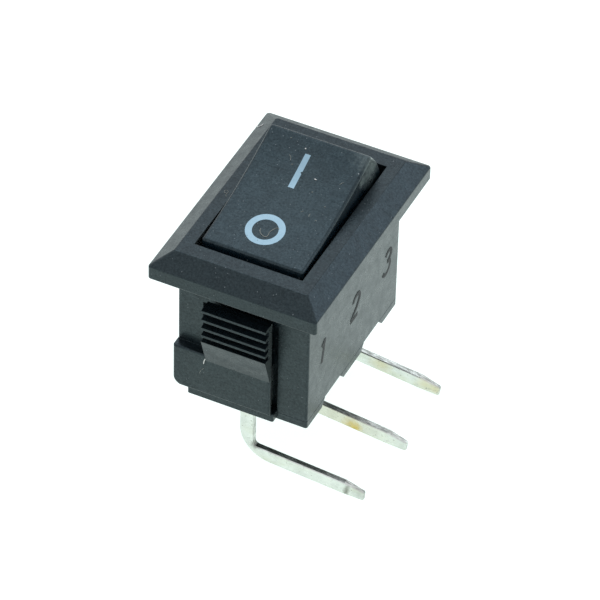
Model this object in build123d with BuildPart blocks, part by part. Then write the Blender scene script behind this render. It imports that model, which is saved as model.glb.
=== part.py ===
from build123d import *
import math
import os

# Miniature snap-in rocker switch, changeover type, with three right-angle solder pins.
# Millimetres. The origin is the middle of the bezel's underside, where the panel seats;
# +Z points out of the panel to the finger, +Y to the raised end, +X to where the pins bend.

# ---- bezel ----
bezel_length = 15.0
bezel_width = 10.4
bezel_wall = 0.9
bezel_height = 1.7
bezel_slope_run = 1.1
bezel_corner = 0.18
bezel_ridge_corner = 0.12
bezel_edge_round = 0.1
opening_length = 10.88
opening_width = 6.68

# ---- body shell under the bezel ----
body_length = 11.86
body_width = 8.16
body_depth = 8.3
body_corner = 0.14
cavity_neck_level = -1.4
cavity_neck_length = 10.0
cavity_foot_level = -5.3
cavity_foot_length = 10.7

# ---- snap latches on the two short ends ----
latch_width = 4.0
latch_top = -1.3
latch_back = 0.42
latch_face = 0.82
latch_crest = 1.28
latch_rib_levels = (-1.40, -2.06, -2.67, -3.22)
latch_rib_thickness = 0.15
latch_wedge_top = -3.66
latch_wedge_foot = -5.65
latch_relief = 0.42
latch_relief_top = -1.9
latch_relief_left = -2.5
latch_relief_right = 2.2
latch_slot_left = 1.7
latch_slot_front = 0.4

# ---- raised blocks that the latches grow from ----
block_proud = 0.62
block_top = -5.28
block_foot = -8.24
block_right = 2.02
block_corner = 0.55
block_edge_round = 0.12

# ---- base plate that carries the terminals ----
plate_thickness = 0.57
plate_edge_break = 0.05
foot_proud = 0.4
foot_left = -3.27
foot_right = 2.15
foot_corner = 0.12
plug_width = 6.6
plug_top = -7.6
notch_pitch = 5.1
notch_mouth = 2.95
notch_floor = 1.95
notch_depth = 0.74
bead_proud = 0.12
bead_height = 0.3
bead_level = -7.95
bead_length = 2.0
bead_pitch = 5.0
bead_clearance = 0.03
post_length = 1.4
fulcrum_post_top = -6.2
fulcrum_post_length = 2.0
guide_gap = 0.1
guide_thickness = 0.6
guide_length = 1.6
guide_top = -4.3

# ---- rocker ----
pivot_level = -0.15
rocker_tilt = 12.5
rocker_width = 6.3
rocker_half_chord = 4.38
rocker_rise = 3.0
rocker_dish = 0.32
rocker_skirt_level = 0.2
rocker_lobe_radius = 1.25
rocker_skin = 0.7
rocker_edge_round = 0.18
stub_radius = 0.75
stub_reach = 0.47
socket_clearance = 0.05
socket_depth = 0.38
stem_radius = 1.25
stem_foot = -3.3
stem_bore_radius = 0.7
stem_bore_top = -0.3
web_thickness = 0.6

# ---- sprung plunger in the rocker's stem ----
plunger_radius = 0.65
plunger_top = -2.2
plunger_shoulder = -3.5
nose_radius = 0.45
nose_gap = 0.03
spring_radius = 0.5
spring_wire = 0.09
spring_turns = 4.5
spring_wire_sides = 6

# ---- seesaw contact arm ----
fulcrum_level = -5.2
arm_tilt = -9.0
arm_width = 2.4
arm_half_length = 4.25
arm_thickness = 0.3
valley_height = 0.42
valley_radius = 1.78
valley_angle = 36.0
shoulder_radius = 0.3
groove_clearance = 0.03

# ---- riveted contacts ----
moving_offset = 3.6
moving_head_radius = 0.65
moving_head_height = 0.3
dome_radius = 2.5
fixed_offset = 3.95
fixed_head_radius = 0.7
fixed_head_height = 0.35
shank_radius = 0.3
contact_gap = 0.02
contact_edge_break = 0.08

# ---- terminals, stamped from tinned strip ----
pin_pitch = 5.08
pin_width = 0.86
pin_thickness = 0.4
blade_width = 1.8
pin_arm_level = -12.3
pin_outer_round = 2.1
pin_inner_round = 0.3
pin_tip_length = 1.25
pin_tip_width = 0.64
pin_tip_thickness = 0.26
pin_tip_chamfer = 0.07
pin_edge_break = 0.05
pin_reaches = {"terminal_1": 7.5, "terminal_common": 7.85, "terminal_3": 7.6}
pin_droops = {"terminal_1": 4.2, "terminal_common": 6.3, "terminal_3": 6.5}
shelf_end = 3.2
shelf_outer_round = 0.6
shelf_inner_round = 0.2

half_body = body_length / 2
end_radius = math.hypot(rocker_half_chord, rocker_rise)
plate_foot = -body_depth - plate_thickness
guide_offset = arm_width / 2 + guide_gap + guide_thickness / 2

# The arm's centre valley is an arc, and each wing leaves it over a shoulder arc.
valley_turn = math.radians(valley_angle)
shoulder_centre_y = (valley_radius + arm_thickness + shoulder_radius) * math.sin(valley_turn)
shoulder_centre_z = (
    valley_height
    + valley_radius
    - (valley_radius + arm_thickness + shoulder_radius) * math.cos(valley_turn)
)
wing_under = shoulder_centre_z + shoulder_radius
wing_top = wing_under + arm_thickness

# Where the domed moving contact comes down, which sets the height of the fixed ones.
dome_centre = wing_under - moving_head_height + dome_radius
arm_turn = math.radians(abs(arm_tilt))
dome_centre_level = (
    fulcrum_level - moving_offset * math.sin(arm_turn) + dome_centre * math.cos(arm_turn)
)
fixed_level = dome_centre_level - dome_radius - contact_gap
shelf_top = fixed_level - fixed_head_height
shelf_under = shelf_top - pin_thickness

# The plunger's tip just clears the bottom of the arm's valley at mid travel.
plunger_tip = fulcrum_level + valley_height + nose_gap - pivot_level


def swing_planes(level, angle):
    """The side plane (x along the piece, y up it) and the level plane of a piece that
    swings about an axis along X at this height."""
    turn = math.radians(angle)
    along = (0, math.cos(turn), math.sin(turn))
    up = (0, -math.sin(turn), math.cos(turn))
    side = Plane(origin=(0, 0, level), x_dir=along, z_dir=(1, 0, 0))
    flat = Plane(origin=(0, 0, level), x_dir=(1, 0, 0), z_dir=up)
    return side, flat


def pin(label, row):
    """The pin below its blade, in this row along Y: down out of the base, then bent along +X
    with a little sag, and coined thinner and narrower, from above, at its tip."""
    fall = math.radians(pin_droops[label])
    along = Vector(math.cos(fall), -math.sin(fall))
    across = Vector(-math.sin(fall), -math.cos(fall))
    inner = Vector(pin_width / 2, pin_arm_level)
    shoulder = inner + along * (pin_reaches[label] - pin_width / 2 - pin_tip_length)
    lower = inner + across * pin_width
    outer = lower - along * ((lower.X + pin_width / 2) / along.X)
    middle = shoulder + across * (pin_width / 2)
    with BuildPart() as made:
        with BuildSketch(Plane.XZ.offset(-row)) as profile:
            with BuildLine():
                Polyline(
                    (-pin_width / 2, plug_top),
                    (pin_width / 2, plug_top),
                    inner,
                    shoulder,
                    shoulder + across * pin_width,
                    outer,
                    close=True,
                )
            make_face()
            fillet(profile.vertices().sort_by_distance(outer)[0], radius=pin_outer_round)
            fillet(profile.vertices().sort_by_distance(inner)[0], radius=pin_inner_round)
        extrude(amount=pin_thickness / 2, both=True)
        ends = made.faces().sort_by(Axis.Z)[-1].edges() + made.faces().sort_by(Axis.X)[-1].edges()
        long_edges = [edge for edge in made.faces().filter_by(Axis.Y).edges() if edge not in ends]
        chamfer(long_edges, length=pin_edge_break)
        start = Plane(
            origin=(middle.X, row, middle.Y), x_dir=(0, 1, 0), z_dir=(along.X, 0, along.Y)
        )
        with BuildSketch(start) as root:
            Rectangle(pin_thickness, pin_width)
            chamfer(root.vertices(), length=pin_edge_break)
        with BuildSketch(start.offset(pin_tip_length)) as end_face:
            with Locations((0, (pin_tip_width - pin_width) / 2)):
                Rectangle(pin_tip_thickness, pin_tip_width)
            chamfer(end_face.vertices(), length=pin_edge_break)
        loft()
        chamfer(made.faces().sort_by(Axis.X)[-1].edges(), length=pin_tip_chamfer)
    return made.part


os.makedirs("parts", exist_ok=True)


def finish(piece, label):
    """Names a piece and writes it."""
    piece.part.label = label
    export_step(piece.part, f"parts/{label}.step")


# The side view seen from -X: x runs outward to the near end, y up.
near_view = Plane(origin=(0, 0, 0), x_dir=(0, -1, 0), z_dir=(-1, 0, 0))

# ---- housing: bezel, body shell, latches and pivot sockets in one moulding ----
with BuildPart() as housing:
    with BuildSketch(Plane.XY):
        RectangleRounded(bezel_width, bezel_length, bezel_corner)
    extrude(amount=bezel_wall)
    with BuildSketch(Plane.XY.offset(bezel_wall)):
        RectangleRounded(bezel_width, bezel_length, bezel_corner)
    with BuildSketch(Plane.XY.offset(bezel_height)):
        RectangleRounded(
            bezel_width - 2 * bezel_slope_run, bezel_length - 2 * bezel_slope_run, bezel_ridge_corner
        )
    loft()
    fillet(housing.edges().filter_by(Plane.XY), radius=bezel_edge_round)
    with BuildSketch(Plane.XY):
        RectangleRounded(body_width, body_length, body_corner)
    extrude(amount=-body_depth)

    # The raised block under the tongue, flush with the body's -X side.
    with BuildSketch(Plane.XZ.offset(half_body - body_corner)) as block:
        with BuildLine():
            Polyline(
                (-body_width / 2, block_top),
                (block_right, block_top),
                (block_right, block_foot),
                (-body_width / 2, block_foot),
                close=True,
            )
        make_face()
        fillet(block.vertices().sort_by_distance((-body_width / 2, block_foot))[0], radius=block_corner)
    extrude(amount=block_proud + body_corner)
    fillet(housing.faces(Select.LAST).sort_by(Axis.Y)[0].edges(), radius=block_edge_round)

    # The latch relief: a shallow pocket in the end wall that the tongue bends into.
    with BuildSketch(Plane.XZ.offset(half_body - latch_relief)):
        with BuildLine():
            Polyline(
                (latch_relief_left, latch_relief_top),
                (latch_relief_right, latch_relief_top),
                (latch_relief_right, block_top),
                (latch_relief_left, block_top),
                close=True,
            )
        make_face()
    extrude(amount=latch_relief, mode=Mode.SUBTRACT)

    # The latch tongue: a ribbed blade that widens to a lead-in wedge over its foot.
    with BuildSketch(near_view):
        with BuildLine():
            outline = [(half_body + latch_back, latch_top), (half_body + latch_face, latch_top)]
            for rib in latch_rib_levels:
                outline += [
                    (half_body + latch_face, rib + latch_rib_thickness),
                    (half_body + latch_crest, rib + latch_rib_thickness / 2),
                    (half_body + latch_crest, rib - latch_rib_thickness / 2),
                    (half_body + latch_face, rib - latch_rib_thickness),
                ]
            outline += [
                (half_body + latch_face, latch_wedge_top),
                (half_body + latch_crest, latch_wedge_top),
                (half_body + block_proud, latch_wedge_foot),
                (half_body - latch_relief, latch_wedge_foot),
                (half_body - latch_relief, block_top),
                (half_body + latch_back, block_top),
            ]
            Polyline(*outline, close=True)
        make_face()
    extrude(amount=latch_width / 2, both=True)

    # A slot frees the tongue and the block along their +X side.
    with BuildSketch(Plane.XZ.offset(half_body - latch_relief)):
        with BuildLine():
            Polyline(
                (latch_slot_left, latch_relief_top),
                (latch_relief_right, latch_relief_top),
                (latch_relief_right, -body_depth),
                (latch_slot_left, -body_depth),
                close=True,
            )
        make_face()
    extrude(amount=latch_relief + latch_slot_front, mode=Mode.SUBTRACT)

    # The far end is the near end mirrored.
    split(bisect_by=Plane.XZ, keep=Keep.TOP)
    mirror(about=Plane.XZ)

    # The opening and the hollow behind it.
    with BuildSketch(near_view):
        with BuildLine():
            Polyline(
                (0, bezel_height),
                (opening_length / 2, bezel_height),
                (opening_length / 2, cavity_neck_level),
                (cavity_neck_length / 2, cavity_neck_level),
                (cavity_neck_length / 2, cavity_foot_level),
                (cavity_foot_length / 2, cavity_foot_level),
                (cavity_foot_length / 2, -body_depth),
                (0, -body_depth),
                close=True,
            )
        make_face()
        mirror(about=Plane.YZ)
    extrude(amount=opening_width / 2, both=True, mode=Mode.SUBTRACT)

    # Blind pivot sockets in the side walls.
    with BuildSketch(Plane.YZ):
        with Locations((0, pivot_level)):
            Circle(stub_radius + socket_clearance)
    extrude(amount=opening_width / 2 + socket_depth, both=True, mode=Mode.SUBTRACT)

    # Shallow catches for the base's snap beads.
    with BuildSketch(Plane.XY.offset(bead_level - bead_height / 2 - bead_clearance)):
        with Locations((0, -bead_pitch / 2), (0, bead_pitch / 2)):
            Rectangle(
                plug_width + 2 * (bead_proud + bead_clearance), bead_length + 2 * bead_clearance
            )
    extrude(amount=bead_height + 2 * bead_clearance, mode=Mode.SUBTRACT)
finish(housing, "housing")

# ---- base plate: closes the body and carries the terminals ----
with BuildPart() as base:
    with BuildSketch(Plane.XY.offset(-body_depth)):
        RectangleRounded(body_width, body_length, body_corner)
        with Locations(((foot_left + foot_right) / 2, 0)):
            RectangleRounded(foot_right - foot_left, body_length + 2 * foot_proud, foot_corner)
    extrude(amount=-plate_thickness)
    chamfer(base.edges().filter_by(Plane.XY), length=plate_edge_break)
    with BuildSketch(Plane.XY.offset(-body_depth)):
        Rectangle(plug_width, 2 * pin_pitch + pin_thickness)
    extrude(amount=plug_top + body_depth)

    # Snap beads along the plug's long sides.
    with BuildSketch(Plane.XY.offset(bead_level - bead_height / 2)):
        with Locations((0, -bead_pitch / 2), (0, bead_pitch / 2)):
            Rectangle(plug_width + 2 * bead_proud, bead_length)
    extrude(amount=bead_height)

    # Posts under the fixed contacts, and the post and cheeks round the fulcrum.
    with BuildSketch(Plane.XY.offset(plug_top)):
        with Locations((0, fixed_offset), (0, -fixed_offset)):
            Rectangle(blade_width, post_length)
    extrude(amount=shelf_under - plug_top)
    with BuildSketch(Plane.XY.offset(plug_top)):
        Rectangle(2 * guide_offset + guide_thickness, fulcrum_post_length)
    extrude(amount=fulcrum_post_top - plug_top)
    with BuildSketch(Plane.XY.offset(fulcrum_post_top)):
        with Locations((guide_offset, 0), (-guide_offset, 0)):
            Rectangle(guide_thickness, guide_length)
    extrude(amount=guide_top - fulcrum_post_top)

    # Slots for the pins and for the wider blade of the middle terminal.
    with BuildSketch(Plane.XY.offset(plate_foot)):
        with Locations((0, -pin_pitch), (0, 0), (0, pin_pitch)):
            Rectangle(pin_width, pin_thickness)
    extrude(amount=plug_top - plate_foot, mode=Mode.SUBTRACT)
    with BuildSketch(Plane.XY.offset(plug_top)):
        Rectangle(blade_width, pin_thickness)
    extrude(amount=fulcrum_post_top - plug_top, mode=Mode.SUBTRACT)

    # Trapezoid notches through both long edges.
    for side in (1, -1):
        with BuildSketch(Plane.YZ.offset(side * (body_width / 2 - notch_depth))):
            for middle in (-notch_pitch / 2, notch_pitch / 2):
                with BuildLine():
                    Polyline(
                        (middle - notch_mouth / 2, plate_foot),
                        (middle - notch_floor / 2, -body_depth),
                        (middle + notch_floor / 2, -body_depth),
                        (middle + notch_mouth / 2, plate_foot),
                        close=True,
                    )
                make_face()
        extrude(amount=side * notch_depth, mode=Mode.SUBTRACT)
finish(base, "base")

# ---- rocker: cap, side skirts, pivot stubs and spring stem in one moulding ----
rocker_side, rocker_level = swing_planes(pivot_level, rocker_tilt)
rocker_axis = Axis(rocker_level.origin, rocker_level.z_dir)
hollow_radius = end_radius - rocker_skin
hollow_top = rocker_rise - rocker_dish - rocker_skin
skirt_reach = math.sqrt(end_radius**2 - rocker_skirt_level**2)
with BuildPart() as rocker:
    with BuildSketch(rocker_side):
        with BuildLine():
            ThreePointArc(
                (-rocker_half_chord, rocker_rise),
                (0, rocker_rise - rocker_dish),
                (rocker_half_chord, rocker_rise),
            )
            Line((-skirt_reach, rocker_skirt_level), (skirt_reach, rocker_skirt_level))
            for end in (1, -1):
                RadiusArc(
                    (end * rocker_half_chord, rocker_rise),
                    (end * skirt_reach, rocker_skirt_level),
                    end * end_radius,
                )
        make_face()
    extrude(amount=rocker_width / 2, both=True)
    rounded = [
        edge
        for edge in rocker.edges()
        if rocker_level.to_local_coords(edge.center()).Z > rocker_skirt_level + rocker_edge_round
    ]
    fillet(rounded, radius=rocker_edge_round)
    with BuildSketch(rocker_side):
        Circle(rocker_lobe_radius)
    extrude(amount=rocker_width / 2, both=True)
    with BuildSketch(rocker_side):
        Circle(hollow_radius)
        with Locations((0, hollow_top - end_radius)):
            Rectangle(2 * end_radius, 2 * end_radius, mode=Mode.INTERSECT)
    extrude(amount=rocker_width / 2 - rocker_skin, both=True, mode=Mode.SUBTRACT)
    with BuildSketch(rocker_level.offset(rocker_skirt_level)):
        Rectangle(web_thickness, 2 * hollow_radius)
    extrude(amount=hollow_top - rocker_skirt_level)
    with BuildSketch(rocker_level.offset(stem_foot)):
        Circle(stem_radius)
    extrude(amount=hollow_top - stem_foot)
    with BuildSketch(rocker_level.offset(stem_foot)):
        Circle(stem_bore_radius)
    extrude(amount=stem_bore_top - stem_foot, mode=Mode.SUBTRACT)
    for side in (1, -1):
        with BuildSketch(rocker_side.offset(side * (rocker_width / 2 - rocker_skin))):
            Circle(stub_radius)
        extrude(amount=side * (rocker_skin + stub_reach))
finish(rocker, "rocker")

# ---- plunger and its spring, in line with the stem ----
with BuildPart() as plunger:
    with BuildSketch(rocker_side):
        with BuildLine():
            Polyline(
                (0, plunger_tip),
                (0, plunger_top),
                (plunger_radius, plunger_top),
                (plunger_radius, plunger_shoulder),
                (nose_radius, plunger_tip + nose_radius),
            )
            RadiusArc((nose_radius, plunger_tip + nose_radius), (0, plunger_tip), nose_radius)
        make_face()
    revolve(axis=rocker_axis)
finish(plunger, "plunger")

spring_foot = rocker_level.from_local_coords((0, 0, plunger_top + spring_wire))
spring_height = stem_bore_top - plunger_top - 2 * spring_wire
with BuildPart() as spring:
    with BuildLine() as coil:
        Helix(
            spring_height / spring_turns,
            spring_height,
            spring_radius,
            center=spring_foot,
            direction=rocker_level.z_dir,
        )
    with BuildSketch(Plane(origin=coil.line @ 0, z_dir=coil.line % 0)):
        RegularPolygon(spring_wire, spring_wire_sides)
    sweep()
finish(spring, "spring")

# ---- contact arm: a formed strip that seesaws on the middle terminal ----
arm_side, arm_level = swing_planes(fulcrum_level, arm_tilt)
with BuildPart() as contact_arm:
    with BuildSketch(arm_side):
        with BuildLine():
            Line((-arm_half_length, wing_top), (-arm_half_length, wing_under))
            Line((arm_half_length, wing_top), (arm_half_length, wing_under))
            for radius, lift, shoulder in (
                (valley_radius, wing_top, shoulder_radius + arm_thickness),
                (valley_radius + arm_thickness, wing_under, shoulder_radius),
            ):
                valley_y = radius * math.sin(valley_turn)
                valley_z = valley_height + valley_radius - radius * math.cos(valley_turn)
                valley_floor = valley_height + valley_radius - radius
                ThreePointArc((-valley_y, valley_z), (0, valley_floor), (valley_y, valley_z))
                for end in (1, -1):
                    start = (end * valley_y, valley_z)
                    crest = (end * shoulder_centre_y, lift)
                    RadiusArc(start, crest, end * shoulder)
                    Line(crest, (end * arm_half_length, lift))
        make_face()
    extrude(amount=arm_width / 2, both=True)
    with BuildSketch(arm_side):
        Circle(pin_thickness / 2 + groove_clearance)
    extrude(amount=arm_width / 2, both=True, mode=Mode.SUBTRACT)
    with BuildSketch(arm_level.offset(wing_under)):
        with Locations((0, moving_offset), (0, -moving_offset)):
            Circle(shank_radius)
    extrude(amount=arm_thickness, mode=Mode.SUBTRACT)
finish(contact_arm, "contact_arm")

# ---- moving contacts, domed rivets through the arm's two ends ----
for end, label in ((-1, "moving_contact_1"), (1, "moving_contact_3")):
    with BuildPart() as moving_contact:
        with BuildSketch(arm_level.offset(wing_under)):
            with Locations((0, end * moving_offset)):
                Circle(moving_head_radius)
        extrude(amount=-moving_head_height)
        dome_middle = arm_level.from_local_coords((0, end * moving_offset, dome_centre))
        with Locations(dome_middle):
            Sphere(dome_radius, mode=Mode.INTERSECT)
        with BuildSketch(arm_level.offset(wing_under)):
            with Locations((0, end * moving_offset)):
                Circle(shank_radius)
        extrude(amount=arm_thickness)
    finish(moving_contact, label)

# ---- terminals: a wide blade inside, a narrow pin outside ----
for end, label in ((-1, "terminal_1"), (1, "terminal_3")):
    outward = Plane(origin=(0, 0, 0), x_dir=(0, end, 0), z_dir=(end, 0, 0))
    outer_pin = pin(label, end * pin_pitch)
    with BuildPart() as terminal:
        with BuildSketch(outward) as bend:
            with BuildLine():
                Polyline(
                    (shelf_end, shelf_top),
                    (pin_pitch + pin_thickness / 2, shelf_top),
                    (pin_pitch + pin_thickness / 2, plug_top),
                    (pin_pitch - pin_thickness / 2, plug_top),
                    (pin_pitch - pin_thickness / 2, shelf_under),
                    (shelf_end, shelf_under),
                    close=True,
                )
            make_face()
            outer_corner = (pin_pitch + pin_thickness / 2, shelf_top)
            inner_corner = (pin_pitch - pin_thickness / 2, shelf_under)
            fillet(bend.vertices().sort_by_distance(outer_corner)[0], radius=shelf_outer_round)
            fillet(bend.vertices().sort_by_distance(inner_corner)[0], radius=shelf_inner_round)
        extrude(amount=blade_width / 2, both=True)
        add(outer_pin)
        with BuildSketch(Plane.XY.offset(shelf_under)):
            with Locations((0, end * fixed_offset)):
                Circle(shank_radius)
        extrude(amount=pin_thickness, mode=Mode.SUBTRACT)
    finish(terminal, label)

middle_pin = pin("terminal_common", 0)
with BuildPart() as terminal_common:
    with BuildSketch(Plane.YZ):
        with Locations((0, (plug_top + fulcrum_level) / 2)):
            Rectangle(pin_thickness, fulcrum_level - plug_top)
        with Locations((0, fulcrum_level)):
            Circle(pin_thickness / 2)
    extrude(amount=blade_width / 2, both=True)
    add(middle_pin)
finish(terminal_common, "terminal_common")

# ---- fixed contacts, flat rivets through the terminals' shelves ----
for end, label in ((-1, "fixed_contact_1"), (1, "fixed_contact_3")):
    with BuildPart() as fixed_contact:
        with BuildSketch(Plane.XY.offset(shelf_top)):
            with Locations((0, end * fixed_offset)):
                Circle(fixed_head_radius)
        extrude(amount=fixed_head_height)
        chamfer(fixed_contact.edges().group_by(Axis.Z)[-1], length=contact_edge_break)
        with BuildSketch(Plane.XY.offset(shelf_under)):
            with Locations((0, end * fixed_offset)):
                Circle(shank_radius)
        extrude(amount=pin_thickness)
    finish(fixed_contact, label)
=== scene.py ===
import math
from functools import partial

import bmesh
import bpy
from mathutils import Euler, Matrix, Vector
from mathutils.bvhtree import BVHTree


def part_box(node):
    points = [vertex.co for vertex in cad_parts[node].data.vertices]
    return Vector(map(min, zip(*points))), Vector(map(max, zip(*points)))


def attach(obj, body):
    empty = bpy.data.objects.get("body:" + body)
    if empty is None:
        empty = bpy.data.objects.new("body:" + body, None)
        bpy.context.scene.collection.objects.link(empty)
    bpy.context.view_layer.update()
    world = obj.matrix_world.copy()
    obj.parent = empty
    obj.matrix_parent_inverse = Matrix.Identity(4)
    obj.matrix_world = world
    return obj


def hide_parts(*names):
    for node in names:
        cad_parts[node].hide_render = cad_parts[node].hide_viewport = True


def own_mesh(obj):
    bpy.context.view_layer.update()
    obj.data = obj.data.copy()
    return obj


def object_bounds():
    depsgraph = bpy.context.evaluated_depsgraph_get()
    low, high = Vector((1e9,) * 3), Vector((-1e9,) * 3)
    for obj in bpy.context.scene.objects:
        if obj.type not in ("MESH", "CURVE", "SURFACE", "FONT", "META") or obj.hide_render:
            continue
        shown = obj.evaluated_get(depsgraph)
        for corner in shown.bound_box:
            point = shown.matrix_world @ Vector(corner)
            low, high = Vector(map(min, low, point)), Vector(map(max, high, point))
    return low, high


# Looks for the miniature rocker switch. Lengths are in metres unless a name ends in _mm or _MM.
# The frame is the part's own: +Z to the finger, +Y to the raised end, +X to the pins' tips.

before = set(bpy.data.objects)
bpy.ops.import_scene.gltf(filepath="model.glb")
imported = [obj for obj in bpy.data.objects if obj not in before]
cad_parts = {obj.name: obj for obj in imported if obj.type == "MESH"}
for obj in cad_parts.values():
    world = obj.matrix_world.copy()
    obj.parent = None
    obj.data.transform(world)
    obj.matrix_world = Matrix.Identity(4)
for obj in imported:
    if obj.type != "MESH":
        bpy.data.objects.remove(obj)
cad_low, cad_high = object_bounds()
MM = 0.001

# ---- camera: the point it looks at, the direction from there back to it, and its roll in
# degrees, from a perspective fit to the photographed object's corners ----
CAMERA_AIM_MM = (1.711, -2.210, -3.001)
CAMERA_BACK = (0.31285, -0.67094, 0.67228)
CAMERA_DISTANCE_MM = 261.67
CAMERA_ROLL = 1.589
CAMERA_LENS_MM = 279.33
CAMERA_SENSOR_MM = 36.0
CAMERA_CLIP = 0.01

# ---- floor and light ----
# the floor's drop under the lowest pin keeps the two faces apart, and its reach is half its side
FLOOR_DROP_MM = 0.02
FLOOR_REACH = 2.4
FLOOR_SEGMENTS = 8
# each softbox: its place, the length of its side, its power in watts and its colour
SOFTBOXES = {
    "softbox_top": ((-0.22, 0.29, 0.60), 0.42, 0.7, (0.70, 0.85, 1.0)),
    "softbox_right": ((0.42, 0.52, 0.40), 0.40, 0.6, (0.60, 0.78, 1.0)),
}
WORLD_COLOUR = (0.92, 0.93, 1.0)
WORLD_STRENGTH = 1.08

# ---- rocker marks, in the rocker's own frame, which is tilted about the pivot ----
ROCKER_TILT = 12.5
PIVOT_MM = -0.15
# each end of the bar: its left edge, its right edge, and how far along the rocker it is
BAR_NEAR_MM = (-0.39, -0.03, 0.87)
BAR_FAR_MM = (-0.43, -0.09, 3.26)
# the nick in the bar's right edge: its depth, how far along it is, and half its width
BAR_NICK_MM = (0.10, 2.02, 0.09)
BAR_ROWS = 61
RING_CENTRE_MM = (-0.20, -2.38)
RING_OUTER_MM = 1.14
RING_INNER_MM = 0.75
RING_ROWS = 72
MARK_COLUMNS = 5
INK_LIFT_MM = 0.012
# where the ink is worn thin, round the bar's far end
INK_THIN_MM = (-0.2, 2.1, 3.2)
INK_THIN_RADIUS_MM = 2.4

# ---- spring, in the rocker's own frame: the ends of its wire's axis, the coil's radius to that
# axis, the wire's own radius, all its turns, and the closed ones among them at each end ----
SPRING_FOOT_MM = -2.11
SPRING_TOP_MM = -0.39
SPRING_RADIUS_MM = 0.5
SPRING_WIRE_MM = 0.085
SPRING_TURNS = 4.5
SPRING_CLOSED = 0.75
SPRING_STEPS = 145
SPRING_SIDES = 12

# ---- terminal numbers on the side wall: their height, stroke width, foot level and slant ----
DIGIT_HEIGHT_MM = 1.6
DIGIT_STROKE_MM = 0.24
DIGIT_LEVEL_MM = -5.2
DIGIT_SLANT = 0.22
DIGIT_LIFT_MM = 0.02
# how much less each later stroke is lifted, as a share of the first one's lift
STROKE_STEP = 0.4

# ---- thin pieces laid on a CAD surface ----
# how deep a skin's underside lies, as a share of its lift
SKIN_DEPTH = 0.6
# where the lines that find the surface start, well clear of it
ABOVE_ROCKER_MM = 6.0
ABOVE_BEZEL_MM = 6.0
BEFORE_BLOCK_MM = -12.0
BESIDE_WALL_MM = 1.0

# ---- stray fibres: each has its radius and path in millimetres. A path is on the rocker's flat
# plan, (x, along), on the bezel seen from above, (x, y), or on the block seen from the near end,
# (x, z) ----
FIBRE_SIDES = 6
# how thick a fibre's ends are, and how high its axis lies over the housing, as shares of its radius
FIBRE_TIPS = 0.55
FIBRE_SEAT = 0.9
# a thicker fibre is white, and the rest are grey
THICK_FIBRE_MM = 0.016
ROCKER_FIBRES_MM = {
    "ring": (0.016, [
        (-0.47, -2.38), (-0.44, -2.56), (-0.32, -2.72), (-0.05, -2.86), (0.09, -2.82),
        (0.13, -2.66), (0.10, -2.46), (0.17, -2.25), (0.30, -2.05), (0.42, -2.00), (0.52, -2.04),
    ]),
    "bar": (0.012, [(-1.27, 2.87), (-1.14, 2.81), (-1.06, 2.66), (-1.04, 2.52)]),
    "edge": (0.012, [(1.62, -0.60), (1.58, -0.48), (1.60, -0.36)]),
    "streak": (0.010, [(2.26, 2.06), (2.31, 2.16), (2.37, 2.24), (2.44, 2.28)]),
    "streak_low": (0.010, [(1.06, -0.46), (1.10, -0.38), (1.17, -0.31)]),
    "speck_bar": (0.034, [(-0.58, 3.52), (-0.55, 3.55), (-0.52, 3.56)]),
    "speck_right": (0.030, [(0.78, 1.88), (0.84, 1.89), (0.92, 1.86)]),
    "speck_left": (0.015, [(-0.88, 2.33), (-0.83, 2.35), (-0.78, 2.36)]),
    "speck_middle": (0.015, [(1.00, 1.04), (1.04, 1.05), (1.09, 1.07)]),
    "speck_low": (0.015, [(2.11, 0.37), (2.15, 0.38), (2.18, 0.40)]),
    "speck_near": (0.015, [(2.05, -0.69), (2.09, -0.68), (2.12, -0.66)]),
    "speck_far": (0.014, [(-1.68, 3.90), (-1.64, 3.92), (-1.60, 3.95)]),
}
BEZEL_FIBRES_MM = {
    "corner": (0.020, [(-5.16, 6.05), (-5.02, 5.88), (-4.88, 5.92), (-4.74, 6.06)]),
    "loop": (0.012, [
        (-3.58, -1.05), (-3.66, -0.88), (-3.62, -0.72), (-3.70, -0.60), (-3.81, -0.58),
        (-3.86, -0.68), (-3.80, -0.80), (-3.69, -0.80),
    ]),
}
BLOCK_FIBRES_MM = {
    "ledge": (0.030, [(-2.02, -5.50), (-2.09, -5.68), (-2.13, -5.94)]),
    "block": (0.007, [(-2.39, -6.81), (-2.33, -6.58), (-2.12, -6.27)]),
}

# ---- colours, linear ----
BLACK_DEEP = (0.002, 0.003, 0.004)
BLACK_LIGHT = (0.004, 0.008, 0.010)
ROCKER_DEEP = (0.000, 0.002, 0.004)
ROCKER_LIGHT = (0.003, 0.009, 0.013)
# painted light on the long sides of the black plastic
SIDE_PAINTED_LIGHT_GREY = (0.049, 0.058, 0.054)
# edge colours of the plastic: rubbed wear and a painted highlight
RUBBED_BODY_AND_HIGHLIGHT = (0.04, 0.05, 0.05)
RUBBED_ROCKER_AND_HIGHLIGHT = (0.11, 0.13, 0.13)
DUST_GREY = (0.34, 0.37, 0.37)
POWDER_GREY = (0.20, 0.24, 0.22)
PLASTIC_TINT = (0.72, 0.94, 0.97)
TIN_DULL = (0.62, 0.65, 0.60)
TIN_BRIGHT = (0.76, 0.79, 0.73)
TIN_YELLOWED = (0.50, 0.52, 0.24)
TIN_BROWNED = (0.60, 0.47, 0.16)
PIT_GREY = (0.28, 0.27, 0.22)
DENT_GREY = (0.36, 0.38, 0.31)
SCRATCH_GREY = (0.40, 0.41, 0.36)
# cut edges of the pins: a duller finish that also carries painted shade
SHEARED_DARK_AND_SHADE = (0.25, 0.26, 0.23)
SHEARED_LIGHT = (0.72, 0.75, 0.68)
# painted shade along the pins' edges
RIM_SHADE_GREY = (0.20, 0.20, 0.16)
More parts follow.
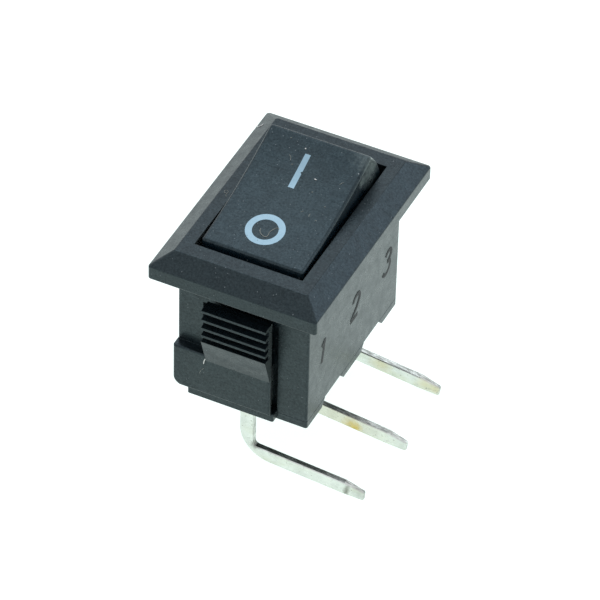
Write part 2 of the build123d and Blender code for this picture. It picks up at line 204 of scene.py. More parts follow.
# painted shade in the pins' bends and creases
CREASE_SHADE_BLACK = (0.07, 0.07, 0.05)
SILVER_DARK = (0.62, 0.61, 0.57)
SILVER_LIGHT = (0.84, 0.83, 0.80)
COPPER_DARK = (0.52, 0.30, 0.17)
COPPER_LIGHT = (0.76, 0.47, 0.28)
STEEL_DARK = (0.34, 0.34, 0.33)
STEEL_LIGHT = (0.60, 0.60, 0.58)
NYLON_DARK = (0.70, 0.68, 0.60)
NYLON_LIGHT = (0.84, 0.82, 0.76)
NYLON_RUB = (0.38, 0.37, 0.34)
INK_DARK = (0.27, 0.44, 0.52)
INK_LIGHT = (0.36, 0.53, 0.61)
INK_THIN = (0.13, 0.22, 0.27)
INK_GAP = (0.09, 0.12, 0.14)
# the numbers' dark skins: painted shade for the shadow inside the sunk strokes
SUNK_DEEP = (0.002, 0.003, 0.003)
SUNK_LIGHT = (0.010, 0.013, 0.013)
GREY_LINT_DULL = (0.14, 0.15, 0.13)
GREY_LINT_BRIGHT = (0.34, 0.35, 0.30)
WHITE_LINT_DULL = (0.42, 0.43, 0.40)
WHITE_LINT_BRIGHT = (0.78, 0.79, 0.75)
PAPER_DARK = (0.31, 0.31, 0.30)
PAPER_LIGHT = (0.35, 0.35, 0.34)
PAPER_GLOW = (0.87, 1.0, 0.96)
PAPER_GLOW_STRENGTH = 0.94

# ---- local marks: each has its centre and radius in millimetres, and how strong it is ----
ROCKER_POWDER = (
    ((3.15, 3.7, 2.9), 1.4, 0.7),
    ((3.2, 2.5, 2.7), 0.45, 0.9),
    ((0.0, 0.0, 2.7), 3.4, 0.04),
)
TIN_STAINS = (
    ((4.2, -0.2, -13.36), 0.7, 0.7),
    ((4.5, -0.2, -13.45), 0.55, 1.0),
    ((3.7, 4.88, -12.95), 0.9, 0.35),
    ((6.6, 4.88, -13.35), 0.8, 0.35),
    ((7.3, 4.88, -13.5), 0.5, 0.4),
    ((3.6, -0.2, -13.2), 4.0, 0.22),
)
# painted shade in the first pin's inner bend and along the crease near its tip
TIN_CREASE_SHADE = (
    ((0.60, -5.10, -12.25), 0.42, 0.9),
    ((1.6, -4.9, -12.35), 0.5, 0.6),
    ((6.42, -5.28, -12.95), 0.22, 0.5),
    ((6.38, -5.28, -13.20), 0.26, 0.6),
    ((6.34, -5.28, -13.42), 0.22, 0.6),
    ((7.2, -5.28, -13.3), 0.6, 0.25),
)

BEVEL_SAMPLES = 6


# ------------------------------------------------------------------ node helpers
def rgba(value):
    """A colour with its alpha, or any other value as it is."""
    return (*value, 1.0) if isinstance(value, tuple) and len(value) == 3 else value


class Shader:
    """Builds one node material: every call adds a node and wires what it is given."""

    def __init__(self, name):
        self.material = bpy.data.materials.new(name)
        self.material.use_nodes = True
        self.tree = self.material.node_tree
        self.bsdf = next(n for n in self.tree.nodes if n.type == "BSDF_PRINCIPLED")
        self.coordinates = self.tree.nodes.new("ShaderNodeTexCoord").outputs["Object"]

    def wire(self, socket, value):
        """Links the socket to another node's output, or sets its value."""
        if isinstance(value, bpy.types.NodeSocket):
            self.tree.links.new(value, socket)
        else:
            socket.default_value = value

    def add(self, kind, output, settings=None, **inputs):
        """A new node's output. An input is given by its name, or as i0, i1 by its number."""
        node = self.tree.nodes.new(kind)
        for key, value in (settings or {}).items():
            setattr(node, key, value)
        for key, value in inputs.items():
            numbered = key[0] == "i" and key[1:].isdigit()
            self.wire(node.inputs[int(key[1:]) if numbered else key.replace("_", " ")], value)
        return node.outputs[output]

    def math(self, operation, a, b=0.0, clamp=False):
        """One sum, product or other operation on two numbers."""
        settings = {"operation": operation, "use_clamp": clamp}
        return self.add("ShaderNodeMath", 0, settings, i0=a, i1=b)

    def vector(self, operation, a, b=(0.0, 0.0, 0.0), output=0):
        """The same on two vectors."""
        return self.add("ShaderNodeVectorMath", output, {"operation": operation}, i0=a, i1=b)

    def stretched(self, scale):
        """Object coordinates in units of 1/scale metres, one scale for each axis."""
        return self.vector("MULTIPLY", self.coordinates, scale)

    def noise(self, scale, detail=3.0, rough=0.55, distortion=0.0):
        """Noise with about one lump to each 1/scale metres, or one scale for each axis."""
        scales = scale if isinstance(scale, tuple) else (scale, scale, scale)
        return self.add(
            "ShaderNodeTexNoise", "Fac",
            Vector=self.stretched(scales), Scale=1.0, Detail=detail, Roughness=rough,
            Distortion=distortion,
        )

    def ramp(self, value, stops):
        """Greys at the stated positions."""
        node = self.tree.nodes.new("ShaderNodeValToRGB")
        elements = node.color_ramp.elements
        while len(elements) < len(stops):
            elements.new(1.0)
        for element, (place, shade) in zip(elements, stops):
            element.position = place
            element.color = (shade, shade, shade, 1.0)
        self.wire(node.inputs[0], value)
        return node.outputs[0]

    def blend(self, amount, first, second):
        """first where amount is 0, second where it is 1."""
        node = self.tree.nodes.new("ShaderNodeMix")
        node.data_type = "RGBA"
        self.wire(node.inputs["Factor"], amount)
        self.wire(node.inputs[6], rgba(first))
        self.wire(node.inputs[7], rgba(second))
        return node.outputs[2]

    def specks(self, scale, size, share):
        """Ragged specks, at most `size` of a cell in radius, in this share of a grid's cells."""
        node = self.tree.nodes.new("ShaderNodeTexVoronoi")
        node.feature = "F1"
        self.wire(node.inputs["Vector"], self.stretched((scale, scale, scale)))
        self.wire(node.inputs["Scale"], 1.0)
        pick = self.add("ShaderNodeSeparateColor", 0, Color=node.outputs["Color"])
        chosen = self.math("LESS_THAN", pick, share)
        wobble = self.math("MULTIPLY", self.noise(scale * 3), size)
        near = self.math("LESS_THAN", node.outputs["Distance"], wobble)
        return self.math("MULTIPLY", chosen, near)

    def edges(self, radius, low, high):
        """Nearly 1 on the sharp edges and 0 on the flats."""
        rounded = self.add("ShaderNodeBevel", 0, {"samples": BEVEL_SAMPLES}, Radius=radius)
        normal = self.tree.nodes.new("ShaderNodeNewGeometry").outputs["Normal"]
        along = self.vector("DOT_PRODUCT", rounded, normal, output="Value")
        return self.ramp(self.math("SUBTRACT", 1.0, along, clamp=True), [(low, 0.0), (high, 1.0)])

    def facing(self, axis):
        """How squarely the surface faces along this axis, either way, from 0 to 1."""
        normal = self.tree.nodes.new("ShaderNodeNewGeometry").outputs["Normal"]
        return self.math("ABSOLUTE", self.vector("DOT_PRODUCT", normal, axis, output="Value"))

    def spot(self, centre_mm, radius_mm):
        """A ragged patch round one point: 1 inside, 0 outside."""
        centre = tuple(c * MM for c in centre_mm)
        offset = self.vector("SUBTRACT", self.coordinates, centre)
        away = self.vector("LENGTH", offset, output="Value")
        swing = self.math("SUBTRACT", self.noise(4200.0, 5.0, 0.7), 0.5)
        ragged = self.math("MULTIPLY", swing, 1.1)
        reach = self.math("ADD", self.math("DIVIDE", away, radius_mm * MM), ragged)
        return self.ramp(reach, [(0.15, 1.0), (1.0, 0.0)])

    def grazing(self):
        """0 where the surface is seen square on, rising to 1 close to the grazing angle."""
        weight = self.add("ShaderNodeLayerWeight", "Facing", Blend=0.5)
        return self.ramp(weight, [(0.72, 0.0), (0.90, 1.0)])

    def marked(self, colour, marks, mark_colour):
        """colour, with this colour over each mark."""
        for centre_mm, radius_mm, amount in marks:
            strength = self.math("MULTIPLY", self.spot(centre_mm, radius_mm), amount)
            colour = self.blend(strength, colour, mark_colour)
        return colour

    def bump(self, height, depth, strength, rounding=0.0):
        """A bump of this depth, over edges that look rounded to this radius."""
        inputs = {"Height": height, "Distance": depth, "Strength": strength}
        if rounding:
            settings = {"samples": BEVEL_SAMPLES}
            inputs["Normal"] = self.add("ShaderNodeBevel", 0, settings, Radius=rounding)
        return self.add("ShaderNodeBump", 0, None, **inputs)

    def done(self, **sockets):
        """The finished material, with these values on the shader's own sockets."""
        for key, value in sockets.items():
            self.wire(self.bsdf.inputs[key.replace("_", " ")], rgba(value))
        return self.material


def moulded(name, deep, light, gloss, rubbed, dust, scuff=0.35, side=0.0, powder=()):
    """Black moulded plastic: mottled colour, spark-eroded grain, scuffs, edges lightened by wear
    and by a painted highlight, painted light on its long sides, and dust.
    gloss is its roughness, rubbed the colour of its worn edges with their painted highlight, dust
    the share of specks, and side how far its two long sides are lightened with painted light.
    powder is a list of marks where fine dust lies."""
    s = Shader(name)
    mottle = s.ramp(s.noise(900.0, 4.0), [(0.35, 0.0), (0.68, 1.0)])
    grit = s.ramp(s.noise(9000.0, 3.0, 0.7), [(0.34, 0.0), (0.70, 1.0)])
    tone = s.math("ADD", s.math("MULTIPLY", mottle, 0.4), s.math("MULTIPLY", grit, 0.6))
    colour = s.blend(tone, deep, light)
    # painted light: the faces along ±X are lightened toward a grey that stands in for the floor's
    # light on the long sides, broken by a coarse grain
    sideways = s.ramp(s.facing((1.0, 0.0, 0.0)), [(0.85, 0.0), (0.97, 1.0)])
    side_painted_light = s.math("MULTIPLY", sideways, side)
    coarse_grit = s.ramp(s.noise(6000.0, 3.0, 0.7), [(0.35, 0.3), (0.65, 1.0)])
    colour = s.blend(s.math("MULTIPLY", side_painted_light, coarse_grit), colour, SIDE_PAINTED_LIGHT_GREY)
    streak = s.ramp(s.noise((700.0, 6500.0, 2600.0), 4.0, 0.65, 0.4), [(0.56, 0.0), (0.74, 1.0)])
    patch = s.ramp(s.noise(330.0, 2.0), [(0.42, 0.0), (0.66, 1.0)])
    scuffed = s.math("MULTIPLY", s.math("MULTIPLY", streak, patch), scuff)
    uneven = s.ramp(s.noise(2600.0), [(0.3, 0.2), (0.7, 0.9)])
    # the edges are lightened toward the rubbed colour: partly wear, partly a painted highlight
    # along the edges
    worn = s.math("MULTIPLY", s.edges(0.05 * MM, 0.02, 0.28), uneven)
    pale = tuple(min(1.0, 2.5 * c + 0.03) for c in light)
    colour = s.blend(scuffed, colour, pale)
    colour = s.blend(s.math("MULTIPLY", worn, 0.7), colour, rubbed)
    fine = s.specks(7500.0, 0.40, dust)
    coarse = s.specks(1700.0, 0.11, dust)
    dusty = s.math("MAXIMUM", s.math("MULTIPLY", fine, 0.35), s.math("MULTIPLY", coarse, 0.75))
    colour = s.blend(dusty, colour, DUST_GREY)
    for centre_mm, radius_mm, amount in powder:
        loose = s.ramp(s.noise(5200.0, 4.0, 0.7), [(0.35, 0.25 * amount), (0.7, amount)])
        lying = s.math("MULTIPLY", loose, s.spot(centre_mm, radius_mm))
        colour = s.blend(lying, colour, POWDER_GREY)
    rough = s.ramp(s.noise(1500.0, 5.0), [(0.3, gloss - 0.06), (0.7, gloss + 0.08)])
    matt = s.math("MULTIPLY", s.math("ADD", scuffed, dusty), 0.35)
    rough = s.math("ADD", rough, matt, clamp=True)
    rough = s.math("ADD", rough, s.math("MULTIPLY", s.grazing(), 0.20), clamp=True)
    satin = s.noise(9500.0, 4.0, 0.6)
    wave = s.noise(700.0, 2.0)
    heights = s.math("ADD", satin, s.math("MULTIPLY", wave, 1.6))
    heights = s.math("SUBTRACT", heights, s.math("MULTIPLY", streak, 0.5))
    normal = s.bump(heights, 0.010 * MM, 0.9, rounding=0.03 * MM)
    sparkle = s.ramp(s.noise(8000.0, 3.0, 0.75), [(0.30, 0.3), (0.70, 0.7)])
    return s.done(
        Base_Color=colour, Roughness=rough, Normal=normal, IOR=1.48, Specular_IOR_Level=sparkle,
        Specular_Tint=PLASTIC_TINT,
    )


def tinned(name, stains, crease_shade):
    """Tin plate on stamped brass: bright broad faces with pits, dents and drawn lines, and dull
    cut edges that also carry painted shade, with painted shade along every edge. stains are
    yellowed marks, and the second list of marks is painted shade in bends and creases."""
    s = Shader(name)
    broad = s.ramp(s.facing((0.0, 1.0, 0.0)), [(0.35, 0.0), (0.8, 1.0)])
    cloud = s.ramp(s.noise(1400.0, 4.0), [(0.3, 0.0), (0.7, 1.0)])
    bright = s.blend(cloud, TIN_DULL, TIN_BRIGHT)
    stain = s.ramp(s.noise((260.0, 700.0, 620.0), 4.0, 0.6, 0.8), [(0.52, 0.0), (0.75, 0.35)])
    bright = s.blend(stain, bright, TIN_YELLOWED)
    bright = s.marked(bright, stains, TIN_BROWNED)
    pits = s.specks(3600.0, 0.34, 0.16)
    bright = s.blend(s.math("MULTIPLY", pits, 0.6), bright, PIT_GREY)
    dents = s.ramp(s.noise(4300.0, 3.0, 0.6), [(0.60, 0.0), (0.68, 1.0)])
    bright = s.blend(s.math("MULTIPLY", dents, 0.5), bright, DENT_GREY)
    lines = s.noise((1100.0, 5200.0, 12000.0), 4.0, 0.65)
    scratch = s.ramp(lines, [(0.60, 0.0), (0.70, 1.0)])
    bright = s.blend(s.math("MULTIPLY", scratch, 0.35), bright, SCRATCH_GREY)
    # the narrow cut faces are duller tin, and are also darkened as painted shade for the dark
    # overhead they reflect
    torn = s.ramp(s.noise((2600.0, 9000.0, 2600.0)), [(0.35, 0.0), (0.65, 1.0)])
    sheared_and_shade = s.blend(torn, SHEARED_DARK_AND_SHADE, SHEARED_LIGHT)
    colour = s.blend(broad, sheared_and_shade, bright)
    # painted shade: every edge is darkened, standing in for the dark surroundings that its rounding
    # reflects
    rim_shade = s.edges(0.05 * MM, 0.03, 0.30)
    colour = s.blend(s.math("MULTIPLY", rim_shade, 0.45), colour, RIM_SHADE_GREY)
    # painted shade in the first pin's bend and crease
    colour = s.marked(colour, crease_shade, CREASE_SHADE_BLACK)
    rough = s.ramp(lines, [(0.3, 0.22), (0.7, 0.40)])
    rough = s.math("ADD", rough, s.math("MULTIPLY", stain, 0.2), clamp=True)
    heights = s.math("ADD", lines, s.math("MULTIPLY", s.noise(1200.0, 3.0), 0.8))
    normal = s.bump(heights, 0.004 * MM, 0.8, rounding=0.05 * MM)
    return s.done(Base_Color=colour, Metallic=1.0, Roughness=rough, Normal=normal)


def metal(name, dark, light, gloss, drawn):
    """Formed metal with tarnish, brighter rubbed edges and rolling lines. gloss is its lowest
    roughness, and drawn the scale of the lines on each axis."""
    s = Shader(name)
    cloud = s.ramp(s.noise(1600.0, 4.0), [(0.32, 0.0), (0.7, 1.0)])
    colour = s.blend(cloud, dark, light)
    rubbed = s.edges(0.05 * MM, 0.02, 0.3)
    polished = tuple(min(1.0, 1.25 * c) for c in light)
    colour = s.blend(s.math("MULTIPLY", rubbed, 0.5), colour, polished)
    lines = s.noise(drawn, 4.0, 0.6)
    rough = s.ramp(lines, [(0.3, gloss), (0.7, gloss + 0.16)])
    normal = s.bump(lines, 0.003 * MM, 0.8, rounding=0.02 * MM)
    return s.done(Base_Color=colour, Metallic=1.0, Roughness=rough, Normal=normal)


def nylon(name):
    """Natural nylon: milky, slightly see-through, with a fine grain and grey rub marks."""
    s = Shader(name)
    colour = s.blend(s.noise(1800.0, 4.0), NYLON_DARK, NYLON_LIGHT)
    rub = s.ramp(s.noise((1500.0, 1500.0, 7000.0), 4.0), [(0.56, 0.0), (0.75, 1.0)])
    colour = s.blend(s.math("MULTIPLY", rub, 0.45), colour, NYLON_RUB)
    rough = s.ramp(s.noise(2600.0), [(0.3, 0.38), (0.7, 0.55)])
    normal = s.bump(s.noise(9000.0, 4.0), 0.003 * MM, 0.8, rounding=0.03 * MM)
    return s.done(
        Base_Color=colour, Roughness=rough, Normal=normal, Subsurface_Weight=0.15,
        Subsurface_Scale=0.4 * MM,
    )


def ink(name):
    """Pad-printed ink: pale blue, thin in specks and round the bar's far end, with a rough skin."""
    s = Shader(name)
    colour = s.blend(s.noise(3500.0, 4.0), INK_DARK, INK_LIGHT)
    worn = s.spot(INK_THIN_MM, INK_THIN_RADIUS_MM)
    colour = s.blend(s.math("MULTIPLY", worn, 0.45), colour, INK_THIN)
    gaps = s.specks(4200.0, 0.36, 0.10)
    colour = s.blend(s.math("MULTIPLY", gaps, 0.65), colour, INK_GAP)
    rough = s.ramp(s.noise(5000.0), [(0.3, 0.42), (0.7, 0.62)])
    normal = s.bump(s.noise(8000.0, 4.0), 0.003 * MM, 0.9)
    return s.done(Base_Color=colour, Roughness=rough, Normal=normal)


def sunk(name):
    """The dark plastic of a moulded number, as a raised skin: painted shade standing for the shadow
    inside its sunk strokes.
    """
    s = Shader(name)
    colour = s.blend(s.noise(4200.0, 4.0), SUNK_DEEP, SUNK_LIGHT)
    rough = s.ramp(s.noise(6000.0), [(0.3, 0.55), (0.7, 0.75)])
    normal = s.bump(s.noise(9000.0, 4.0), 0.004 * MM, 1.0)
    return s.done(Base_Color=colour, Roughness=rough, Normal=normal)


def lint(name, dull, bright):
    """A pale fibre with darker kinks."""
    s = Shader(name)
    colour = s.blend(s.noise(4200.0, 3.0), dull, bright)
    rough = s.ramp(s.noise(7000.0), [(0.3, 0.6), (0.7, 0.85)])
    normal = s.bump(s.noise(16000.0), 0.004 * MM, 0.8)
    return s.done(Base_Color=colour, Roughness=rough, Normal=normal)


def paper(name):
    """The pale paper under the switch, lit through from below."""
    s = Shader(name)
    colour = s.blend(s.noise(60.0, 3.0), PAPER_DARK, PAPER_LIGHT)
    rough = s.ramp(s.noise(500.0), [(0.3, 0.7), (0.7, 0.85)])
    return s.done(
        Base_Color=colour, Roughness=rough, Emission_Color=PAPER_GLOW,
        Emission_Strength=PAPER_GLOW_STRENGTH,
    )


# ------------------------------------------------------------------ finishes on the CAD nodes
BODY_BLACK = moulded(
    "housing_plastic", BLACK_DEEP, BLACK_LIGHT, 0.30, RUBBED_BODY_AND_HIGHLIGHT, dust=0.03, side=0.8,
)
BASE_BLACK = moulded(
    "base_plastic", BLACK_DEEP, BLACK_LIGHT, 0.30, RUBBED_BODY_AND_HIGHLIGHT, dust=0.02, side=0.8,
)
ROCKER_BLACK = moulded(
    "rocker_plastic", ROCKER_DEEP, ROCKER_LIGHT, 0.28, RUBBED_ROCKER_AND_HIGHLIGHT, dust=0.08, scuff=0.22,
    powder=ROCKER_POWDER,
)
TIN = tinned("tin_plate", TIN_STAINS, TIN_CREASE_SHADE)
SILVER = metal("contact_silver", SILVER_DARK, SILVER_LIGHT, 0.20, (3000.0, 3000.0, 3000.0))
COPPER = metal("arm_copper", COPPER_DARK, COPPER_LIGHT, 0.24, (9000.0, 900.0, 900.0))
SPRING = metal("spring_wire", STEEL_DARK, STEEL_LIGHT, 0.22, (5200.0, 5200.0, 1500.0))
FINISHES = {
    "housing": BODY_BLACK,
    "base": BASE_BLACK,
    "rocker": ROCKER_BLACK,
    "plunger": nylon("nylon"),
    "spring": SPRING,
    "contact_arm": COPPER,
    "moving_contact_1": SILVER,
    "moving_contact_3": SILVER,
    "fixed_contact_1": SILVER,
    "fixed_contact_3": SILVER,
    "terminal_1": TIN,
    "terminal_common": TIN,
    "terminal_3": TIN,
}
for node_name, cad_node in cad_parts.items():
    cad_node.data.materials.clear()
    cad_node.data.materials.append(FINISHES[node_name])


# ------------------------------------------------------------------ added pieces
def surface_of(node_name):
    """The CAD node's own surface, to lay thin pieces on."""
    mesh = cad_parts[node_name].data
    corners = [v.co.copy() for v in mesh.vertices]
    return BVHTree.FromPolygons(corners, [tuple(p.vertices) for p in mesh.polygons])


def laid(surface, point, inward, lift_mm):
    """Where a line from point along inward meets the surface, lifted back off it."""
    hit = surface.ray_cast(point, inward)[0]
    return hit - inward * (lift_mm * MM)


def piece(name, shape, material, body):
    """A new object of this shape, which rides this body."""
    mesh = bpy.data.meshes.new(name)
    shape.to_mesh(mesh)
    shape.free()
    mesh.materials.append(material)
    made = bpy.data.objects.new(name, mesh)
    bpy.context.scene.collection.objects.link(made)
    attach(made, body)
    return made


def skin(rows, place, lift_mm, looped=False):
    """A thin closed skin over a grid of flat points, which place(point, lift_mm) sets on a surface.
    Its top is lifted off the surface, and its underside lies below it. In a looped skin, the last
    row joins the first."""
    mesh = bmesh.new()
    top = [[mesh.verts.new(place(p, lift_mm)) for p in row] for row in rows]
    low = [[mesh.verts.new(place(p, -SKIN_DEPTH * lift_mm)) for p in row] for row in rows]
    count, width = len(rows), len(rows[0])
    last = count if looped else count - 1
    for i in range(last):
        j = (i + 1) % count
        for k in range(width - 1):
            mesh.faces.new((top[i][k], top[j][k], top[j][k + 1], top[i][k + 1]))
            mesh.faces.new((low[i][k + 1], low[j][k + 1], low[j][k], low[i][k]))
        mesh.faces.new((top[i][0], low[i][0], low[j][0], top[j][0]))
        mesh.faces.new((top[i][-1], top[j][-1], low[j][-1], low[i][-1]))
    if not looped:
        for i in (0, count - 1):
            for k in range(width - 1):
                mesh.faces.new((top[i][k], top[i][k + 1], low[i][k + 1], low[i][k]))
    bmesh.ops.recalc_face_normals(mesh, faces=mesh.faces)
    return mesh


rocker_turn = Euler((math.radians(ROCKER_TILT), 0.0, 0.0)).to_matrix()
pivot = Vector((0.0, 0.0, PIVOT_MM * MM))
rocker_surface = surface_of("rocker")
rocker_down = rocker_turn @ Vector((0.0, 0.0, -1.0))


def on_rocker(point_mm, lift_mm):
    """A point (x, along) of the rocker's flat plan, laid on its crown."""
    above = pivot + rocker_turn @ (Vector((*point_mm, ABOVE_ROCKER_MM)) * MM)
    return laid(rocker_surface, above, rocker_down, lift_mm)


def spread(low, high, count):
    """This many numbers, evenly from low to high."""
    return [low + (high - low) * i / (count - 1) for i in range(count)]


INK = ink("pad_print")
nick_depth, nick_along, nick_half = BAR_NICK_MM
bar_rows = []
for step in spread(0.0, 1.0, BAR_ROWS):
    left, edge, along = (near + (far - near) * step for near, far in zip(BAR_NEAR_MM, BAR_FAR_MM))
    edge -= nick_depth * max(0.0, 1.0 - abs(along - nick_along) / nick_half)
    bar_rows.append([(x, along) for x in spread(left, edge, MARK_COLUMNS)])
piece("mark_on", skin(bar_rows, on_rocker, INK_LIFT_MM), INK, "rocker")
ring_x, ring_along = RING_CENTRE_MM
ring_rows = []
for step in range(RING_ROWS):
    turn = math.radians(360.0 * step / RING_ROWS)
    ring_rows.append([
        (ring_x + r * math.cos(turn), ring_along + r * math.sin(turn))
        for r in spread(RING_INNER_MM, RING_OUTER_MM, MARK_COLUMNS)
    ])
ring_skin = skin(ring_rows, on_rocker, INK_LIFT_MM, looped=True)
piece("mark_off", ring_skin, INK, "rocker")


def stroke_rows(path, width):
    """Rows of points across a flat path, square at its ends."""
    rows = []
    for i, point in enumerate(path):
        before = Vector(path[max(i - 1, 0)])
        after = Vector(path[min(i + 1, len(path) - 1)])
        along = (after - before).normalized()
        side = Vector((-along.y, along.x))
        rows.append([tuple(Vector(point) + side * t * width / 2) for t in (-1.0, 0.0, 1.0)])
    return rows


def arc(cx, cy, rx, ry, start, end, count):
    """Points along part of an ellipse, between two angles in degrees."""
    return [
        (cx + rx * math.cos(math.radians(a)), cy + ry * math.sin(math.radians(a)))
        for a in spread(start, end, count)
    ]


# Numbers one unit tall, each drawn as one or two strokes.
NUMBERS = {
    "1": [
        [(-0.16, 0.78), (-0.08, 0.84), (0.0, 0.92), (0.04, 1.0)],
        [(0.04, 1.0), (0.04, 0.5), (0.04, 0.0)],
    ],
    "2": [
        arc(0.0, 0.72, 0.27, 0.27, 170.0, -20.0, 11) + [(0.1, 0.38), (-0.1, 0.2), (-0.27, 0.04)],
        [(-0.27, 0.0), (0.0, 0.0), (0.29, 0.0)],
    ],
    "3": [
        arc(-0.02, 0.76, 0.24, 0.23, 160.0, -90.0, 11),
        arc(-0.02, 0.26, 0.28, 0.27, 90.0, -160.0, 13),
    ],
}
housing_surface = surface_of("housing")
NUMBER_SHADE = sunk("number_painted_shade")


def on_side(point, lift_mm, middle):
    """A point of a number, laid on the side wall with the number's middle at this Y."""
    across = (point[0] + DIGIT_SLANT * point[1]) * DIGIT_HEIGHT_MM * MM
    up = (DIGIT_LEVEL_MM + point[1] * DIGIT_HEIGHT_MM) * MM
    start = Vector((cad_high.x + BESIDE_WALL_MM * MM, middle + across, up))
    return laid(housing_surface, start, Vector((-1.0, 0.0, 0.0)), lift_mm)


# the numbers are dark raised skins: painted shade for the shadow in the sunk strokes
for digit, terminal in (("1", "terminal_1"), ("2", "terminal_common"), ("3", "terminal_3")):
    low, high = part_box(terminal)
    over_pin = partial(on_side, middle=(low.y + high.y) / 2)
    for index, path in enumerate(NUMBERS[digit]):
        rows = stroke_rows(path, DIGIT_STROKE_MM / DIGIT_HEIGHT_MM)
        stroke = skin(rows, over_pin, DIGIT_LIFT_MM * (1.0 - STROKE_STEP * index))
        piece(f"number_{digit}_{index}", stroke, NUMBER_SHADE, "housing")


# ------------------------------------------------------------------ stray fibres
def tube(path, radius, sides, tips=1.0):
    """A closed round tube along these points. tips is how thick its two ends are, as a share."""
    mesh = bmesh.new()
    rings = []
    side = None
    for i, point in enumerate(path):
        along = (path[min(i + 1, len(path) - 1)] - path[max(i - 1, 0)]).normalized()
        side = along.orthogonal() if side is None else side - along * side.dot(along)
        side.normalize()
        other = along.cross(side)
        reach = radius * tips if i in (0, len(path) - 1) else radius
        rings.append([
            mesh.verts.new(point + (side * math.cos(turn) + other * math.sin(turn)) * reach)
            for turn in (math.tau * k / sides for k in range(sides))
        ])
    for first, second in zip(rings, rings[1:]):
        for k in range(sides):
            j = (k + 1) % sides
            mesh.faces.new((first[k], first[j], second[j], second[k]))
    mesh.faces.new(rings[0])
    mesh.faces.new(rings[-1])
    bmesh.ops.recalc_face_normals(mesh, faces=mesh.faces)
    return mesh


def fibre(name, path, radius, body):
    """A stray fibre with thin ends, white if it is thick and grey if it is fine."""
    material = WHITE_LINT if radius > THICK_FIBRE_MM * MM else GREY_LINT
    piece(name, tube(path, radius, FIBRE_SIDES, FIBRE_TIPS), material, body)


def smooth_path(points, steps=4):
    """More points along the same path: a Catmull-Rom curve through the given ones."""
    ends = [points[0], *points, points[-1]]
    out = []
    for a, b, c, d in zip(ends, ends[1:], ends[2:], ends[3:]):
        for step in range(steps):
            t = step / steps
            out.append(tuple(
                0.5 * (2 * q + (r - p) * t + (2 * p - 5 * q + 4 * r - w) * t**2
                       + (3 * q - p - 3 * r + w) * t**3)
                for p, q, r, w in zip(a, b, c, d)
            ))
    return out + [points[-1]]


GREY_LINT = lint("grey_lint", GREY_LINT_DULL, GREY_LINT_BRIGHT)
WHITE_LINT = lint("white_lint", WHITE_LINT_DULL, WHITE_LINT_BRIGHT)
down = Vector((0.0, 0.0, -1.0))
inward = Vector((0.0, 1.0, 0.0))
for name, (radius_mm, path) in ROCKER_FIBRES_MM.items():
    points = [on_rocker(p, radius_mm) for p in smooth_path(path)]
    fibre(f"fibre_{name}", points, radius_mm * MM, "rocker")
for name, (radius_mm, path) in BEZEL_FIBRES_MM.items():
    starts = [Vector((x, y, ABOVE_BEZEL_MM)) * MM for x, y in smooth_path(path)]
    points = [laid(housing_surface, start, down, FIBRE_SEAT * radius_mm) for start in starts]
    fibre(f"fibre_{name}", points, radius_mm * MM, "housing")
for name, (radius_mm, path) in BLOCK_FIBRES_MM.items():
    starts = [Vector((x, BEFORE_BLOCK_MM, z)) * MM for x, z in smooth_path(path)]
    points = [laid(housing_surface, start, inward, FIBRE_SEAT * radius_mm) for start in starts]
    fibre(f"fibre_{name}", points, radius_mm * MM, "housing")


# ------------------------------------------------------------------ the spring in the stem
def wound(turn):
    """A point of the wire's axis after this many turns, in millimetres in the rocker's own frame.
    The turns at both ends lie closed, and those between climb evenly."""
    closed_rise = 2.0 * SPRING_WIRE_MM
    open_turns = SPRING_TURNS - 2.0 * SPRING_CLOSED
    open_rise = (SPRING_TOP_MM - SPRING_FOOT_MM - 2.0 * SPRING_CLOSED * closed_rise) / open_turns
    foot_part = min(turn, SPRING_CLOSED)
    top_part = max(0.0, turn - (SPRING_TURNS - SPRING_CLOSED))
    rise = (foot_part + top_part) * closed_rise + (turn - foot_part - top_part) * open_rise
    x = SPRING_RADIUS_MM * math.cos(math.tau * turn)
    y = SPRING_RADIUS_MM * math.sin(math.tau * turn)
    return Vector((x, y, SPRING_FOOT_MM + rise))


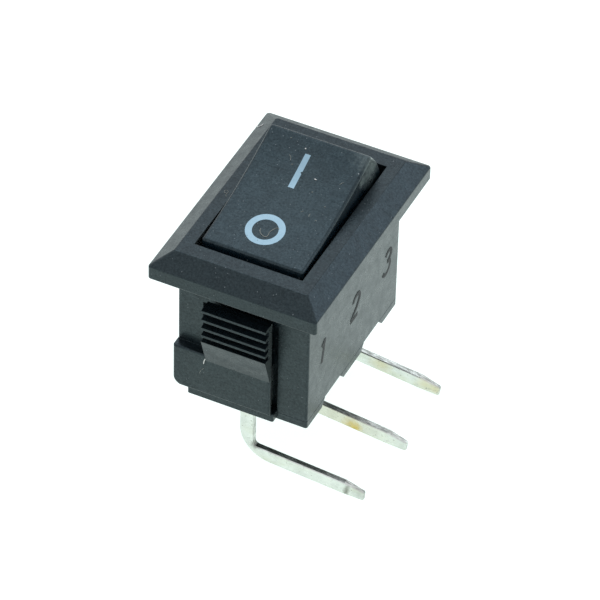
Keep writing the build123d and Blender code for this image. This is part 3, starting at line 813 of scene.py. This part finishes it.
wire_turns = spread(0.0, SPRING_TURNS, SPRING_STEPS)
wire_path = [pivot + rocker_turn @ (wound(turn) * MM) for turn in wire_turns]
wire = tube(wire_path, SPRING_WIRE_MM * MM, SPRING_SIDES)
coil = piece("spring_coil", wire, SPRING, "rocker")
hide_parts("spring")
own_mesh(coil)

# ------------------------------------------------------------------ floor, light and camera
floor_mesh = bmesh.new()
bmesh.ops.create_grid(
    floor_mesh, x_segments=FLOOR_SEGMENTS, y_segments=FLOOR_SEGMENTS, size=FLOOR_REACH
)
floor_data = bpy.data.meshes.new("floor")
floor_mesh.to_mesh(floor_data)
floor_mesh.free()
floor_data.materials.append(paper("floor_paper"))
floor = bpy.data.objects.new("floor", floor_data)
floor.location = (0.0, 0.0, cad_low.z - FLOOR_DROP_MM * MM)
bpy.context.scene.collection.objects.link(floor)


def softbox(name, place, size, power, colour):
    """A square area light at this place, turned to the part's origin."""
    data = bpy.data.lights.new(name, "AREA")
    data.size = size
    data.energy = power
    data.color = colour
    lamp = bpy.data.objects.new(name, data)
    lamp.location = place
    lamp.rotation_mode = "QUATERNION"
    lamp.rotation_quaternion = (-Vector(place)).to_track_quat("-Z", "Y")
    bpy.context.scene.collection.objects.link(lamp)


for name, values in SOFTBOXES.items():
    softbox(name, *values)

world = bpy.data.worlds.new("studio")
bpy.context.scene.world = world
world.use_nodes = True
background = world.node_tree.nodes["Background"]
background.inputs["Color"].default_value = rgba(WORLD_COLOUR)
background.inputs["Strength"].default_value = WORLD_STRENGTH
bpy.context.scene.view_settings.view_transform = "Standard"

camera_data = bpy.data.cameras.new("camera")
camera_data.lens = CAMERA_LENS_MM
camera_data.sensor_width = CAMERA_SENSOR_MM
camera_data.clip_start = CAMERA_CLIP
camera = bpy.data.objects.new("camera", camera_data)
back = Vector(CAMERA_BACK).normalized()
right = Vector((-back.y, back.x, 0.0)).normalized()
up = back.cross(right)
roll = Euler((0.0, 0.0, math.radians(CAMERA_ROLL))).to_matrix()
turned = Matrix((right, up, back)).transposed() @ roll
stand = Vector(CAMERA_AIM_MM) * MM + back * CAMERA_DISTANCE_MM * MM
camera.matrix_world = Matrix.Translation(stand) @ turned.to_4x4()
bpy.context.scene.collection.objects.link(camera)
bpy.context.scene.camera = camera
